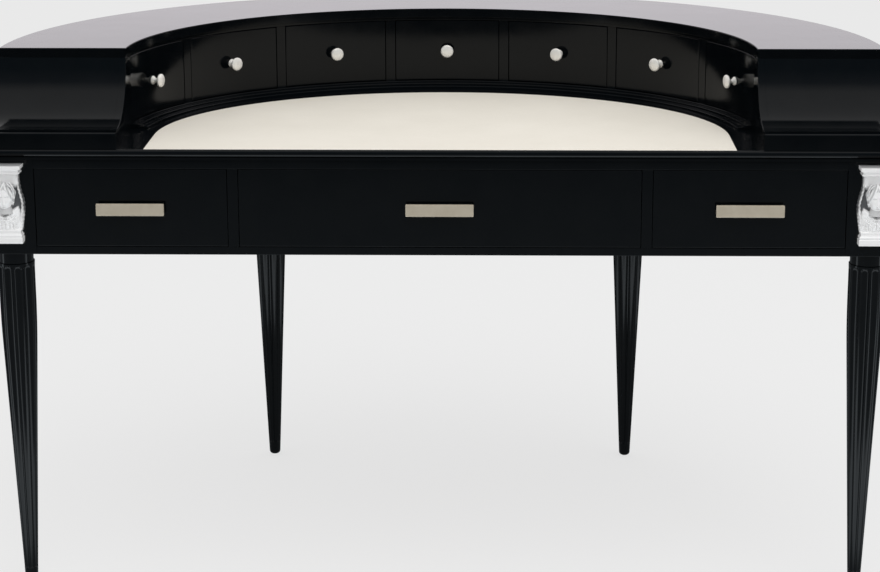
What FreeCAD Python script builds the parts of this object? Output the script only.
import FreeCAD, Part
import math
import os

# A half-elliptical writing desk. The leather-topped lower part has three frieze drawers and
# four fluted legs. The upper case is a curved bank of seven small drawers round the leather.
# Lengths are in millimetres. X runs to the right, Y to the back and Z up.
# While a piece is laid out, Y is counted from the front edge of the desk top.

# Desk top
top_height = 762.0
top_half_width = 751.0
top_reach = 687.0
side_straight = 120.0
bead_height = 12.0
bead_radius = 5.5
bead_steps = 2
step_height = 6.0
step_setback = 5.0

# Leather
leather_side_gap = 43.0
leather_rear_gap = 72.0
leather_straight = 126.0
leather_margin = 6.0
leather_thickness = 1.2

# Frieze and apron
frieze_setback = 8.0
frieze_height = 158.0
frieze_thickness = 20.0
top_rail_height = 15.0
bottom_rail_height = 13.0
stile_width = 17.0
centre_drawer_half = 327.0
cross_rail_place = 362.0
cross_rail_thickness = 20.0

# Leg blocks and legs
block_width = 85.0
block_depth = 72.0
rear_block_width = 58.0
rear_block_depth = 56.0
rear_leg_angle = math.radians(29.0)
leg_top_radius = 30.2
leg_foot_radius = 10.3
leg_swell_drop = 80.0
foot_round = 6.0
neck_length = 20.0
neck_radius = 28.5
foot_length = 30.0
flute_fade = 9.0
flute_count = 12
flute_land_share = 0.22
flute_hollow_steps = 3
flute_depth_share = 0.13

# Frieze drawers
reveal = 1.0
front_edge_width = 1.0
tray_side_gap = 6.0
tray_wall = 12.0
tray_height = 105.0
tray_end_gap = 8.0
tray_floor_thickness = 6.0
tray_floor_lift = 10.0
groove_share = 1 / 3
running_gap = 0.3
guide_gap = 0.5
runner_foot = 20.0
guide_height = 60.0
frieze_travel = 250.0

# Bar pulls
pull_length = 110.0
pull_height = 19.9
pull_thickness = 5.0
pull_reach = 15.0
pull_post = 12.0
pull_post_inset = 12.0
pull_edge_width = 0.8

# Upper case
case_height = 145.0
case_side_setback = 20.0
case_rear_setback = 24.0
wing_width = 210.0
case_depth = 201.0
case_wall = 14.0
case_top_thickness = 16.0
case_top_round = 1.5
edge_steps = 1
wing_front = 126.0
plinth_height = 27.0
plinth_ledge = 12.0
plinth_front = 4.0
plinth_band = 40.0
plinth_round = 3.0
cove_radius = 113.0
cove_lip = 3.0
cove_panel = 14.0
cheek_thickness = 12.0
cheek_tail = 45.0
floor_thickness = 10.0
floor_lip = 3.0
moulding_width = 27.0
moulding_step_width = 14.0
moulding_low = 4.0
moulding_high = 7.5
ceiling_thickness = 5.5
ceiling_setback = 3.0
drawer_setback = 5.0

# Small drawers
small_count = 7
divider_width = 17.0
partition_wall = 9.0
stile_depth = 22.0
small_front_wall = 12.0
small_corner_width = 2.0
small_back_room = 76.0
small_tray_wall = 8.0
small_tray_gap = 2.0
small_tray_drop = 14.0
small_tray_floor = 4.0
small_travel = 40.0

# Knobs
knob_reach = 20.0
knob_base_radius = 7.5
knob_base_edge = 2.0
knob_neck_radius = 3.5
knob_neck_place = 10.0
knob_head_radius = 11.6
knob_head_thickness = 6.5
knob_dome = 1.8
knob_edge = 1.4
knob_sides = 18
knob_seat_gap = 0.2

# Corner mounts
mount_height = 130.5
mount_lift = 9.0
mount_width = 60.0
mount_offset = 3.0
mount_reach = 26.0
mount_plate = 4.0
mount_plate_inset = 8.0
mount_base_height = 24.0
mount_base_inset = 3.0
mount_base_reach = 18.0
bust_waist_z = 23.0
bust_chest_z = 44.0
bust_shoulder_z = 62.0
bust_waist_half = 26.0
bust_chest_half = 29.0
bust_shoulder_half = 30.0
bust_waist_reach = 15.0
bust_chest_reach = 17.0
bust_shoulder_reach = 16.0
veil_flare_z = 75.0
veil_brow_z = 88.0
veil_flare_half = 28.0
veil_brow_half = 24.5
veil_top_half = 23.0
veil_flare_reach = 12.0
veil_brow_reach = 9.0
veil_top_reach = 8.0
fold_count = 5
fold_share = 0.12
egg_steps = 6
egg_end_share = 0.06
head_sides = 16
small_sides = 8
neck_half = 8.0
neck_reach = 11.0
head_half_height = 17.5
head_half_width = 11.5
head_centre_reach = 12.5
head_centre_z = 95.0
nose_radius = 2.4
eye_radius = 2.2
eye_spread = 4.4
lip_radius = 2.6
chin_radius = 3.4
cap_steps = 3
cap_step_height = 5.5
cap_step_width = 3.0
cap_step_reach = 3.0

overrun = 60.0
arc_steps = 2000
flat_share = 1e-7

# Levels and places worked out from the sizes above
board_thickness = bead_height + step_height
frieze_top = top_height - board_thickness
frieze_bottom = frieze_top - frieze_height
opening_top = frieze_top - top_rail_height
opening_bottom = frieze_bottom + bottom_rail_height
frieze_half_width = top_half_width - frieze_setback
frieze_reach = top_reach - frieze_setback
block_inner = frieze_half_width - block_width
side_drawer_inner = centre_drawer_half + stile_width
case_half_width = top_half_width - case_side_setback
case_reach = top_reach - case_rear_setback
case_inner_half = case_half_width - wing_width
case_inner_reach = case_reach - case_depth
leather_half_width = case_inner_half - leather_side_gap
leather_reach = case_inner_reach - leather_rear_gap
small_tray_length = case_depth - small_back_room
case_top = top_height + case_height
case_underside = case_top - case_top_thickness
plinth_top = top_height + plinth_height
floor_top = top_height + floor_thickness
bay_top = case_underside - ceiling_thickness
cove_centre = plinth_top + cove_lip + cove_radius
cove_foot = wing_front - math.sqrt(cove_radius**2 - (cove_centre - case_underside) ** 2)
face_half = case_inner_half + drawer_setback
face_reach = case_inner_reach + drawer_setback
mount_centre = block_inner + block_width / 2 + mount_offset
front_most = frieze_setback - max(mount_reach, pull_reach)
middle_y = (side_straight + top_reach + front_most) / 2

V = FreeCAD.Vector


def save(node, *solids):
    """Write one node, moved so that the origin lies on the floor under the middle of the desk."""
    moved = [s.translated(V(0, -middle_y, 0)) for s in solids]
    shape = moved[0] if len(moved) == 1 else Part.makeCompound(moved)
    shape.exportStep(os.path.join("parts", node + ".step"))


def box(x0, x1, y0, y1, z0, z1):
    return Part.makeBox(x1 - x0, y1 - y0, z1 - z0, V(x0, y0, z0))


def mirrored(shape):
    """The same piece on the other side of the desk."""
    return shape.mirror(V(0, 0, 0), V(1, 0, 0))


def prism(points, z0, z1):
    """A straight-sided outline raised from z0 to z1."""
    corners = [V(x, y, z0) for x, y in points]
    face = Part.Face(Part.makePolygon(corners + corners[:1]))
    return face.extrude(V(0, 0, z1 - z0))


def edge_curve(half_width, reach, centre, front, z):
    """A half ellipse with straight sides, from its right front end round to its left one."""
    middle = V(0, centre, z)
    side = V(half_width, centre, z)
    back = V(0, centre + reach, z)
    start = math.asin((front - centre) / reach) if front > centre else 0
    if half_width >= reach:
        curve = Part.Ellipse(side, back, middle)
        arc = Part.ArcOfEllipse(curve, start, math.pi - start).toShape()
    else:
        curve = Part.Ellipse(back, V(-half_width, centre, z), middle)
        arc = Part.ArcOfEllipse(curve, start - math.pi / 2, math.pi / 2 - start).toShape()
    if front >= centre:
        return [arc]
    right = Part.makeLine(V(half_width, front, z), side)
    left = Part.makeLine(V(-half_width, centre, z), V(-half_width, front, z))
    return [right, arc, left]


def front_end(half_width, reach, centre, front):
    """How far from the middle such a curve meets its front line."""
    if front <= centre:
        return half_width
    return half_width * math.sqrt(1 - ((front - centre) / reach) ** 2)


def plan_wire(half_width, reach, centre, front, z):
    """The outline with a straight front, straight sides and a half-elliptical back."""
    end = front_end(half_width, reach, centre, front)
    edges = edge_curve(half_width, reach, centre, front, z)
    edges.append(Part.makeLine(V(-end, front, z), V(end, front, z)))
    return Part.Wire(edges)


def d_plan(half_width, reach, front, z0, z1, centre=side_straight):
    """A board of that outline."""
    face = Part.Face(plan_wire(half_width, reach, centre, front, z0))
    return face.extrude(V(0, 0, z1 - z0))


def ring_wire(outer_half, outer_reach, inner_half, inner_reach, front, z):
    """The outline of a band between two such curves, cut off along one front line."""
    outer = edge_curve(outer_half, outer_reach, side_straight, front, z)
    inner = edge_curve(inner_half, inner_reach, side_straight, front, z)
    far = front_end(outer_half, outer_reach, side_straight, front)
    near = front_end(inner_half, inner_reach, side_straight, front)
    left = Part.makeLine(V(-far, front, z), V(-near, front, z))
    right = Part.makeLine(V(near, front, z), V(far, front, z))
    return Part.Wire(outer + [left] + inner[::-1] + [right])


def d_ring(outer_half, outer_reach, inner_half, inner_reach, front, z0, z1):
    """A band of that outline."""
    face = Part.Face(ring_wire(outer_half, outer_reach, inner_half, inner_reach, front, z0))
    return face.extrude(V(0, 0, z1 - z0))


def upright_edges(solid):
    """The straight edges that stand upright."""
    found = []
    for edge in solid.Edges:
        b = edge.BoundBox
        if b.XLength + b.YLength < reveal / 100:
            found.append(edge)
    return found


def ring_points(radius, z, sides, x=0, y=0):
    """Evenly spaced points round an upright line."""
    turns = [2 * math.pi * (i + 0.5) / sides for i in range(sides)]
    return [V(x + radius * math.cos(a), y + radius * math.sin(a), z) for a in turns]


def closed(points):
    return Part.makePolygon(points + points[:1])


def skin(lower, upper):
    """The faces between two outlines: flat where the two edges are parallel, else two triangles."""
    faces = []
    for i in range(len(lower)):
        a, b = lower[i - 1], lower[i]
        d, c = upper[i - 1], upper[i]
        twist = (b - a).cross(c - d).Length
        if twist < (b - a).Length * (c - d).Length * flat_share:
            faces.append(Part.Face(closed([a, b, c, d])))
        else:
            faces.append(Part.Face(closed([a, b, c])))
            faces.append(Part.Face(closed([a, c, d])))
    return faces


def stacked(outlines):
    """A flat-faced solid through a row of outlines with equal numbers of corners."""
    faces = [Part.Face(closed(outlines[0])), Part.Face(closed(outlines[-1]))]
    for lower, upper in zip(outlines, outlines[1:]):
        faces += skin(lower, upper)
    solid = Part.Solid(Part.Shell(faces))
    if solid.Volume < 0:
        solid.reverse()
    return solid


def turned(levels, sides, x=0, y=0):
    """A turned form about an upright line, from its radii and levels."""
    return stacked([ring_points(radius, z, sides, x, y) for radius, z in levels])


# Desk top and leather


def leather_plan(gap, z0, z1):
    half = leather_half_width + gap
    reach = leather_reach + gap
    return d_plan(half, reach, leather_margin - gap, z0, z1, leather_straight)


def rounding(radius, steps):
    """A quarter-round edge in even steps: how far each lies in from the side and down from the top."""
    turns = [math.pi / 2 * i / steps for i in range(steps + 1)]
    return [(radius * (1 - math.cos(a)), radius * (1 - math.sin(a))) for a in turns]


def board_outline(inset, z):
    """The desk top's outline at one level, drawn in by a small length."""
    half = top_half_width - inset
    reach = top_reach - inset
    return plan_wire(half, reach, side_straight, inset, z)


def desk_top():
    """The board: a rounded upper edge, and a step under it that is set back."""
    under = top_height - bead_height
    upper = [board_outline(inset, top_height - drop) for inset, drop in rounding(bead_radius, bead_steps)]
    lower = [board_outline(inset, under + drop) for inset, drop in rounding(bead_radius, bead_steps)]
    bead = Part.makeLoft(lower[::-1] + upper, True, True)
    half = top_half_width - step_setback
    reach = top_reach - step_setback
    step = d_plan(half, reach, step_setback, frieze_top, under)
    recess = leather_plan(running_gap, top_height - leather_thickness, top_height + overrun)
    return bead.fuse(step).cut(recess)


def leather_inset():
    return leather_plan(0, top_height - leather_thickness, top_height)


# Frieze


def frieze_strip(x0, x1, z0, z1):
    """A length of the front framing."""
    return box(x0, x1, frieze_setback, frieze_setback + frieze_thickness, z0, z1)


def rear_leg_place():
    """Where the right rear leg's block meets the outer face, and which way it faces."""
    s = math.sin(rear_leg_angle)
    c = math.cos(rear_leg_angle)
    point = V(frieze_half_width * s, side_straight + frieze_reach * c, 0)
    outward = V(s / frieze_half_width, c / frieze_reach, 0)
    outward.normalize()
    return point, outward


def rear_block_slot(z0, z1):
    """The upright slot through the apron that the right rear leg's block fills."""
    point, outward = rear_leg_place()
    slot = box(-rear_block_width / 2, rear_block_width / 2, -rear_block_depth, overrun, z0, z1)
    slot.rotate(V(0, 0, 0), V(0, 0, 1), math.degrees(math.atan2(-outward.x, outward.y)))
    return slot.translated(point)


def aprons():
    """The curved apron in three lengths: left, rear and right."""
    band = d_ring(
        frieze_half_width,
        frieze_reach,
        frieze_half_width - frieze_thickness,
        frieze_reach - frieze_thickness,
        frieze_setback + block_depth,
        frieze_bottom,
        frieze_top,
    )
    slot = rear_block_slot(frieze_bottom - overrun, frieze_top + overrun)
    lengths = band.cut(slot).cut(mirrored(slot)).Solids
    return sorted(lengths, key=lambda s: s.CenterOfMass.x)


def cross_rail():
    """The straight rail between the side aprons, behind the frieze drawers."""
    back = cross_rail_place + cross_rail_thickness
    rail = box(-top_half_width, top_half_width, cross_rail_place, back, frieze_bottom, frieze_top)
    half = frieze_half_width - frieze_thickness
    inside = d_plan(half, frieze_reach - frieze_thickness, frieze_setback, frieze_bottom, frieze_top)
    return rail.common(inside)


def runner(inner, outer, foot_inner, foot_outer):
    """A runner with an upright guide between two drawers, or at the end of the row."""
    y0 = frieze_setback + frieze_thickness
    foot = box(foot_inner, foot_outer, y0, cross_rail_place, frieze_bottom, opening_bottom)
    guide = box(inner, outer, y0 + reveal, cross_rail_place, opening_bottom, opening_bottom + guide_height)
    return foot.fuse(guide).removeSplitter()


def runners():
    """Two T-shaped runners behind the stiles and two L-shaped ones at the blocks."""
    side = tray_side_gap - guide_gap
    inner = centre_drawer_half - side
    outer = side_drawer_inner + side
    between = runner(inner, outer, inner - runner_foot, outer + runner_foot)
    end = block_inner - side
    last = runner(end, block_inner, end - runner_foot, block_inner)
    return [between, mirrored(between), last, mirrored(last)]


# Legs


def leg_radius(z):
    """A straight taper that swells into an even thickness near the top of the leg."""
    swell = frieze_bottom - leg_swell_drop
    slope = (leg_top_radius - leg_foot_radius) / (swell - leg_swell_drop / 2)
    start = swell - leg_swell_drop
    if z <= start:
        return leg_foot_radius + slope * z
    if z >= swell:
        return leg_top_radius
    share = (z - start) / (swell - start)
    low = leg_foot_radius + slope * start
    return low + (leg_top_radius - low) * (2 - share) * share


def flute_section(z, radius, depth_share):
    """A round section with hollow flutes between narrow lands."""
    pitch = 2 * math.pi / flute_count
    land = pitch * flute_land_share
    points = []
    for i in range(flute_count):
        for step in range(flute_hollow_steps + 1):
            share = step / flute_hollow_steps
            turn = i * pitch + land / 2 + (pitch - land) * share
            out = radius * (1 - depth_share * math.sin(math.pi * share))
            points.append(V(out * math.cos(turn), out * math.sin(turn), z))
    return points


def leg_shaft():
    """The leg below its block: rounded foot, fluted shaft with faded flute ends, and plain neck."""
    flute_top = frieze_bottom - neck_length
    swell_top = frieze_bottom - leg_swell_drop
    bend = foot_round * (1 - math.sqrt(0.5))
    stations = [
        (0, leg_foot_radius - foot_round, 0),
        (bend, leg_foot_radius - bend, 0),
        (foot_round, leg_radius(foot_round), 0),
        (foot_length, leg_radius(foot_length), 0),
        (foot_length + flute_fade, leg_radius(foot_length + flute_fade), flute_depth_share),
        (swell_top - leg_swell_drop, leg_radius(swell_top - leg_swell_drop), flute_depth_share),
        (swell_top, leg_top_radius, flute_depth_share),
        (flute_top - flute_fade, leg_top_radius, flute_depth_share),
        (flute_top, leg_top_radius, 0),
    ]
    shaft = stacked([flute_section(*station) for station in stations])
    neck = Part.makeCylinder(neck_radius, neck_length, V(0, 0, flute_top))
    return shaft.fuse(neck)


def front_leg(shaft):
    """The right front leg with its square block."""
    y1 = frieze_setback + block_depth
    block = box(block_inner, frieze_half_width, frieze_setback, y1, frieze_bottom, frieze_top)
    centre = V((block_inner + frieze_half_width) / 2, frieze_setback + block_depth / 2, 0)
    return block.fuse(shaft.translated(centre))


def rear_leg(shaft):
    """The right rear leg, whose block follows the curve of the apron."""
    point, outward = rear_leg_place()
    hull = d_plan(frieze_half_width, frieze_reach, frieze_setback, frieze_bottom, frieze_top)
    block = rear_block_slot(frieze_bottom, frieze_top).common(hull)
    centre = point - outward * (rear_block_depth / 2)
    return block.fuse(shaft.translated(centre))


# Frieze drawers


def frieze_front(x0, x1):
    """A flat front that closes flush in its opening."""
    y0 = frieze_setback
    y1 = frieze_setback + frieze_thickness
    panel = box(x0 + reveal, x1 - reveal, y0, y1, opening_bottom + reveal, opening_top - reveal)
    rim = [e for e in panel.Edges if e.BoundBox.YMax - y0 < reveal / 100]
    return panel.makeChamfer(front_edge_width, rim)


def pull_level():
    """The height of the pulls: the middle of the drawers."""
    return (opening_bottom + opening_top) / 2


def tray(half, y0, y1, z0, z1, wall, board, floor_lift):
    """Two sides, a back and a bottom let into grooves, as separate boards, about its own middle line."""
    inner = half - wall
    in_groove = inner + groove_share * wall
    f0 = z0 + floor_lift
    f1 = f0 + board
    groove = box(-in_groove, in_groove, y0 - overrun, y1 + overrun, f0, f1)
    left = box(-half, -inner, y0, y1, z0, z1).cut(groove)
    right = box(inner, half, y0, y1, z0, z1).cut(groove)
    back = box(-inner, inner, y1 - wall, y1, f1, z1)
    bottom = box(-in_groove, in_groove, y0, y1, f0, f1)
    return [left, right, back, bottom]


def frieze_tray(x0, x1):
    z0 = opening_bottom + running_gap
    boards = tray(
        (x1 - x0) / 2 - tray_side_gap,
        frieze_setback + frieze_thickness,
        cross_rail_place - tray_end_gap,
        z0,
        z0 + tray_height,
        tray_wall,
        tray_floor_thickness,
        tray_floor_lift,
    )
    return [b.translated(V((x0 + x1) / 2, 0, 0)) for b in boards]


def bar_pull(x0, x1):
    """A flat bar on two short posts, cast in one."""
    z = pull_level()
    middle = (x0 + x1) / 2
    y0 = frieze_setback - pull_reach
    half = pull_length / 2
    bar = box(middle - half, middle + half, y0, y0 + pull_thickness, z - pull_height / 2, z + pull_height / 2)
    bar = bar.makeChamfer(pull_edge_width, bar.Edges)
    h = pull_post / 2
    out = half - pull_post_inset - h
    for x in (middle - out, middle + out):
        post = box(x - h, x + h, y0 + pull_thickness / 2, frieze_setback, z - h, z + h)
        bar = bar.fuse(post)
    return bar


# Upper case


def cove_void(x0, x1):
    """The round-bottomed hollow in front of the coved wing."""
    return Part.makeCylinder(cove_radius, x1 - x0, V(x0, cove_foot, cove_centre), V(1, 0, 0))


def case_plinth():
    """The plinth: a band round the outside with a rounded upper edge, and a board under each wing."""
    half = case_half_width + plinth_ledge
    reach = case_reach + plinth_ledge
    outlines = [plan_wire(half, reach, side_straight, plinth_front, top_height)]
    for inset, drop in rounding(plinth_round, edge_steps):
        outlines.append(
            plan_wire(half - inset, reach - inset, side_straight, plinth_front + inset, plinth_top - drop)
        )
    board = Part.makeLoft(outlines, True, True)
    well = d_plan(case_inner_half, case_inner_reach, -overrun, top_height - overrun, plinth_top + overrun)
    bays = d_plan(half - plinth_band, reach - plinth_band, wing_back(), top_height - overrun, plinth_top + overrun)
    return board.cut(well).cut(bays)


def wing_back():
    """Where the wing ends and the drawer bays begin."""
    return wing_front + cheek_tail


def case_floor():
    """The floor board. Its inner edge runs out as a stepped moulding along the foot of the drawers."""
    half = case_half_width + plinth_ledge - plinth_band
    reach = case_reach + plinth_ledge - plinth_band
    board = None
    for out, z1 in ((moulding_width, moulding_low), (moulding_step_width, moulding_high), (floor_lip, floor_thickness)):
        layer = d_ring(half, reach, face_half - out, face_reach - out, wing_back(), top_height, top_height + z1)
        board = layer if board is None else board.fuse(layer)
    return board.removeSplitter()


def outer_wall():
    """The curved outer wall, whose front ends are cut to the cove."""
    wall = d_ring(
        case_half_width,
        case_reach,
        case_half_width - case_wall,
        case_reach - case_wall,
        cove_foot,
        plinth_top,
        case_underside,
    )
    return wall.cut(cove_void(-top_half_width, top_half_width))


def cove_front():
    """The right coved wing front: a panel of even thickness that curves out to the plinth."""
    x0 = case_inner_half + cheek_thickness
    x1 = case_half_width - case_wall
    outer = Part.makeCylinder(cove_radius + cove_panel, x1 - x0, V(x0, cove_foot, cove_centre), V(1, 0, 0))
    panel = outer.cut(cove_void(x0 - overrun, x1 + overrun))
    inside = d_plan(x1, case_reach - case_wall, cove_foot, plinth_top, case_underside)
    return panel.common(box(x0, x1, cove_foot, case_reach, plinth_top, case_underside)).common(inside)


def wing_cheek():
    """The right inner end board of the wing, cut to the cove."""
    x0 = case_inner_half
    x1 = x0 + cheek_thickness
    board = box(x0, x1, cove_foot, wing_back(), plinth_top, case_underside)
    return board.cut(cove_void(x0 - overrun, x1 + overrun))


def case_ceiling():
    """The board over the small drawers. Its edge is the thin line under the top board."""
    half = case_half_width - case_wall
    reach = case_reach - case_wall
    ring = d_ring(
        half,
        reach,
        case_inner_half + ceiling_setback,
        case_inner_reach + ceiling_setback,
        wing_back(),
        bay_top,
        case_underside,
    )
    return ring


def case_top_board():
    """The top board, with its upper edges just rounded."""
    outlines = [
        ring_wire(case_half_width, case_reach, case_inner_half, case_inner_reach, wing_front, case_underside)
    ]
    for inset, drop in rounding(case_top_round, edge_steps):
        outlines.append(
            ring_wire(
                case_half_width - inset,
                case_reach - inset,
                case_inner_half + inset,
                case_inner_reach + inset,
                wing_front + inset,
                case_top - drop,
            )
        )
    return Part.makeLoft(outlines, True, True)


# Small drawers


def face_point(angle):
    """A point of the curve that the small drawers' faces lie on."""
    return V(face_half * math.sin(angle), side_straight + face_reach * math.cos(angle), 0)


def bay_ends():
    """The face curve shared out evenly: each drawer bay's two ends, from left to right."""
    last = math.acos((wing_back() - side_straight) / face_reach)
    angles = [last * (2 * i / arc_steps - 1) for i in range(arc_steps + 1)]
    points = [face_point(a) for a in angles]
    reached = [0.0]
    for a, b in zip(points, points[1:]):
        reached.append(reached[-1] + (b - a).Length)
    bay = (reached[-1] - divider_width * (small_count - 1)) / small_count
    ends = []
    for k in range(small_count):
        start = k * (bay + divider_width)
        ends.append((point_at(points, reached, start), point_at(points, reached, start + bay)))
    return ends


def point_at(points, reached, length):
    """The point that lies a given length along the face curve."""
    for a, b, start, end in zip(points, points[1:], reached, reached[1:]):
        if length <= end:
            return a + (b - a) * ((length - start) / (end - start))
    return points[-1]


class Bay:
    """One small drawer's place. Along it, Y runs out through the case and X along its chord."""

    def __init__(self, left, right):
        self.middle = (left + right) / 2
        along = right - left
        self.width = along.Length
        along.normalize()
        self.outward = V(-along.y, along.x, 0)
        self.turn = math.degrees(math.atan2(along.y, along.x))
        self.hollow = self.depth_of_face()

    def depth_of_face(self):
        """How far the face curve lies behind the chord at its middle."""
        low = 0.0
        high = self.width
        for _ in range(arc_steps // 50):
            half = (low + high) / 2
            p = self.middle + self.outward * half
            inside = (p.x / face_half) ** 2 + ((p.y - side_straight) / face_reach) ** 2 < 1
            low, high = (half, high) if inside else (low, half)
        return low

    def place(self, shape):
        shape = shape.copy()
        shape.rotate(V(0, 0, 0), V(0, 0, 1), self.turn)
        return shape.translated(self.middle)

    def slot(self, margin, y0, y1, z0, z1):
        """An upright slot as wide as the bay, less a margin at each side."""
        half = self.width / 2 - margin
        return self.place(box(-half, half, y0, y1, z0, z1))


def small_front(bay):
    """A front hollowed to the face curve and flat behind, with its upright corners just taken off."""
    back = bay.hollow + small_front_wall
    front = bay.slot(reveal, -overrun, back, floor_top + reveal, bay_top - reveal)
    front = front.cut(d_plan(face_half, face_reach, -overrun, top_height, case_top))
    corners = sorted(upright_edges(front), key=lambda e: (e.CenterOfMass - bay.middle).dot(bay.outward))
    return front.makeChamfer(small_corner_width, corners[:2])


def small_level():
    return (floor_top + bay_top) / 2


def small_tray(bay):
    y0 = bay.hollow + small_front_wall
    boards = tray(
        bay.width / 2 - reveal - small_tray_gap,
        y0,
        y0 + small_tray_length,
        floor_top + running_gap,
        bay_top - small_tray_drop,
        small_tray_wall,
        small_tray_floor,
        small_tray_floor,
    )
    return [bay.place(b) for b in boards]


def knob(bay):
    """A turned knob: a domed head on a waisted stem over a round base."""
    rim = knob_head_radius - knob_edge
    outline = [
        (knob_base_radius, 0),
        (knob_base_radius, knob_base_edge),
        (knob_neck_radius, knob_neck_place),
        (rim, knob_reach - knob_head_thickness),
        (knob_head_radius, knob_reach - knob_head_thickness + knob_edge),
        (knob_head_radius, knob_reach - knob_dome - knob_edge),
        (rim, knob_reach - knob_dome),
        (rim / 2, knob_reach),
    ]
    shape = turned(outline, knob_sides)
    shape.rotate(V(0, 0, 0), V(1, 0, 0), 90)
    return bay.place(shape.translated(V(0, bay.hollow - knob_seat_gap, small_level())))


def partition(left, right):
    """A V-shaped partition: a face stile, and a thin wall beside each of two bays."""
    a = corner(left, 1, 0, 0)
    b = corner(right, -1, 0, 0)
    far = case_reach
    c = corner(right, -1, 0, far)
    d = corner(left, 1, 0, far)
    wedge = prism([(p.x, p.y) for p in (a, b, c, d)], floor_top, bay_top)
    a = corner(left, 1, partition_wall, stile_depth)
    b = corner(right, -1, partition_wall, stile_depth)
    c = corner(right, -1, partition_wall, far)
    d = corner(left, 1, partition_wall, far)
    inside = prism([(p.x, p.y) for p in (a, b, c, d)], floor_top - overrun, bay_top + overrun)
    return wedge.cut(inside)


def corner(bay, side, off, out):
    """A point beside a bay: off its side wall by one length and out from its chord by another."""
    along = V(bay.outward.y, -bay.outward.x, 0)
    return bay.middle + along * (side * (bay.width / 2 + off)) + bay.outward * out


def case_ring(z0, z1):
    """The space between the drawers' faces and the outer wall."""
    half = case_half_width - case_wall
    reach = case_reach - case_wall
    return d_ring(half, reach, face_half, face_reach, wing_back(), z0, z1)


def cleared(shape, bays):
    """The shape without the corners that the first and last drawers pass as they open."""
    for bay in (bays[0], bays[-1]):
        shape = shape.cut(bay.slot(0, -overrun, bay.hollow, floor_top, bay_top))
    return shape


def partitions(bays, plinth):
    """The six V-shaped partitions and the two boards at the ends of the row."""
    room = case_ring(floor_top, bay_top)
    found = [partition(left, right) for left, right in zip(bays, bays[1:])]
    last = bays[-1]
    far = case_reach
    ends = [corner(last, 1, 0, 0), corner(last, 1, partition_wall, 0)]
    ends += [corner(last, 1, partition_wall, far), corner(last, 1, 0, far)]
    board = prism([(p.x, p.y) for p in ends], floor_top, bay_top)
    found += [board, mirrored(board)]
    return [piece.common(room).cut(plinth).Solids[0] for piece in found]


# Corner mounts


def egg(half_height, half_width, x, y, z, sides):
    """A round-ended upright form."""
    levels = []
    for i in range(egg_steps + 1):
        a = math.pi * (egg_end_share + (1 - 2 * egg_end_share) * i / egg_steps)
        levels.append((half_width * math.sin(a), z - half_height * math.cos(a)))
    return turned(levels, sides, x, y)


def face(y, z):
    """Plain features on the head: nose, eyes, lips and chin at evenly divided heights."""
    front = y - head_half_width
    unit = head_half_height / 4
    bridge = (nose_radius / 3, z)
    tip = (nose_radius, z - unit * 3 / 2)
    under = (nose_radius / 3, z - unit * 2)
    found = [turned([under, tip, bridge], small_sides, 0, front + nose_radius / 2)]
    for side in (-1, 1):
        found.append(egg(eye_radius, eye_radius, side * eye_spread, front + 3 * eye_radius / 2, z, small_sides))
    found.append(egg(lip_radius / 2, lip_radius, 0, front + lip_radius, z - unit * 5 / 2, small_sides))
    found.append(egg(chin_radius, chin_radius, 0, front + chin_radius * 3 / 2, z - unit * 7 / 2, small_sides))
    return found


def folds(z, half, reach):
    """A level section of the draped bust: flat against the plate, with folds in front."""
    points = [V(half, 0, z), V(-half, 0, z)]
    for i in range(1, 2 * fold_count):
        a = math.pi * i / (2 * fold_count)
        out = 1 + fold_share * (i % 2)
        points.append(V(-half * math.cos(a), -reach * out * math.sin(a), z))
    return points


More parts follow.
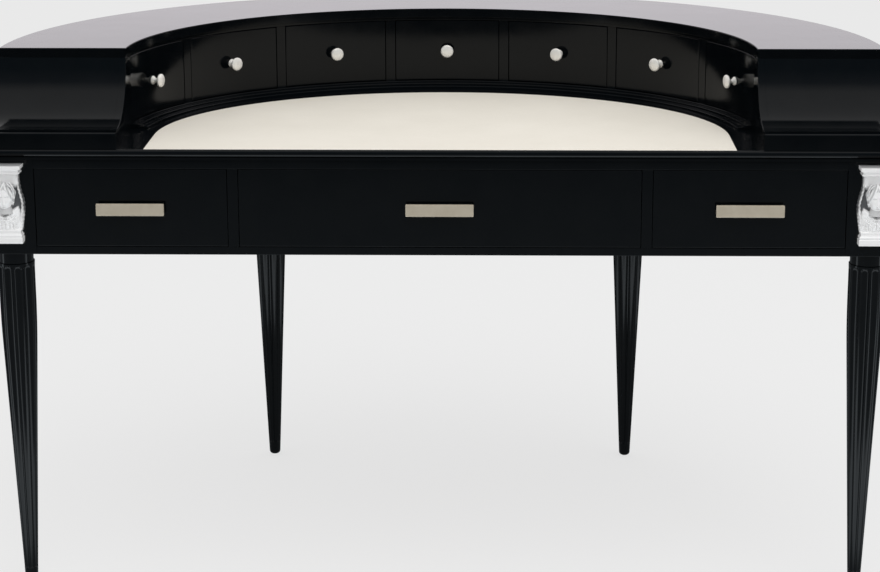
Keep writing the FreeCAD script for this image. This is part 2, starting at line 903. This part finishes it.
def corner_mount():
    """The right casting: plate, base, draped bust, head before its veil, and a stepped cap."""
    half = mount_width / 2
    plate_half = half - mount_plate_inset
    plate = box(-plate_half, plate_half, -mount_plate, 0, 0, mount_height)
    base_half = half - mount_base_inset
    base = box(-base_half, base_half, -mount_base_reach, 0, 0, mount_base_height)
    cap_foot = mount_height - cap_steps * cap_step_height
    levels = [
        (bust_waist_z, bust_waist_half, bust_waist_reach),
        (bust_chest_z, bust_chest_half, bust_chest_reach),
        (bust_shoulder_z, bust_shoulder_half, bust_shoulder_reach),
        (veil_flare_z, veil_flare_half, veil_flare_reach),
        (veil_brow_z, veil_brow_half, veil_brow_reach),
        (cap_foot + cap_step_height / 2, veil_top_half, veil_top_reach),
    ]
    body = stacked([folds(*level) for level in levels])
    parts = [base, body]
    neck = [(neck_half, bust_chest_z), (neck_half, head_centre_z)]
    parts.append(turned(neck, head_sides, 0, -neck_reach))
    parts.append(egg(head_half_height, head_half_width, 0, -head_centre_reach, head_centre_z, head_sides))
    parts += face(-head_centre_reach, head_centre_z)
    for step in range(cap_steps):
        z1 = mount_height - step * cap_step_height
        w = half - step * cap_step_width
        reach = mount_reach - step * cap_step_reach
        parts.append(box(-w, w, -reach, 0, z1 - cap_step_height, z1))
    casting = plate
    for piece in parts:
        casting = casting.fuse(piece)
    return casting.translated(V(mount_centre, frieze_setback, opening_bottom + mount_lift))


def build():
    os.makedirs("parts", exist_ok=True)
    save("desk_top", desk_top())
    save("leather_inset", leather_inset())
    save("frieze_top_rail", frieze_strip(-block_inner, block_inner, opening_top, frieze_top))
    save("frieze_bottom_rail", frieze_strip(-block_inner, block_inner, frieze_bottom, opening_bottom))
    stile = frieze_strip(centre_drawer_half, side_drawer_inner, opening_bottom, opening_top)
    save("frieze_stile_left", mirrored(stile))
    save("frieze_stile_right", stile)
    for side, length in zip(("left", "rear", "right"), aprons()):
        save("apron_" + side, length)
    save("cross_rail", cross_rail())
    save("drawer_runners", *runners())

    shaft = leg_shaft()
    for name, leg in (("front_leg", front_leg(shaft)), ("rear_leg", rear_leg(shaft))):
        save(name + "_right", leg)
        save(name + "_left", mirrored(leg))
    mount = corner_mount()
    save("corner_mount_right", mount)
    save("corner_mount_left", mirrored(mount))

    drawers = {
        "left": (-block_inner, -side_drawer_inner),
        "centre": (-centre_drawer_half, centre_drawer_half),
        "right": (side_drawer_inner, block_inner),
    }
    for name, (x0, x1) in drawers.items():
        save("frieze_drawer_front_" + name, frieze_front(x0, x1))
        save("frieze_drawer_tray_" + name, *frieze_tray(x0, x1))
        save("bar_pull_" + name, bar_pull(x0, x1))

    bays = [Bay(left, right) for left, right in bay_ends()]
    plinth = cleared(case_plinth(), bays)
    save("case_plinth", plinth)
    save("case_floor", case_floor())
    save("case_outer_wall", outer_wall())
    front = cove_front()
    save("wing_front_right", front)
    save("wing_front_left", mirrored(front))
    cheek = cleared(wing_cheek(), bays)
    save("wing_cheek_right", cheek)
    save("wing_cheek_left", mirrored(cheek))
    save("drawer_partitions", *partitions(bays, plinth))
    save("case_ceiling", case_ceiling())
    save("case_top", case_top_board())
    for number, bay in enumerate(bays, 1):
        save("small_drawer_front_%d" % number, small_front(bay))
        save("small_drawer_tray_%d" % number, *small_tray(bay))
        save("small_drawer_knob_%d" % number, knob(bay))


build()
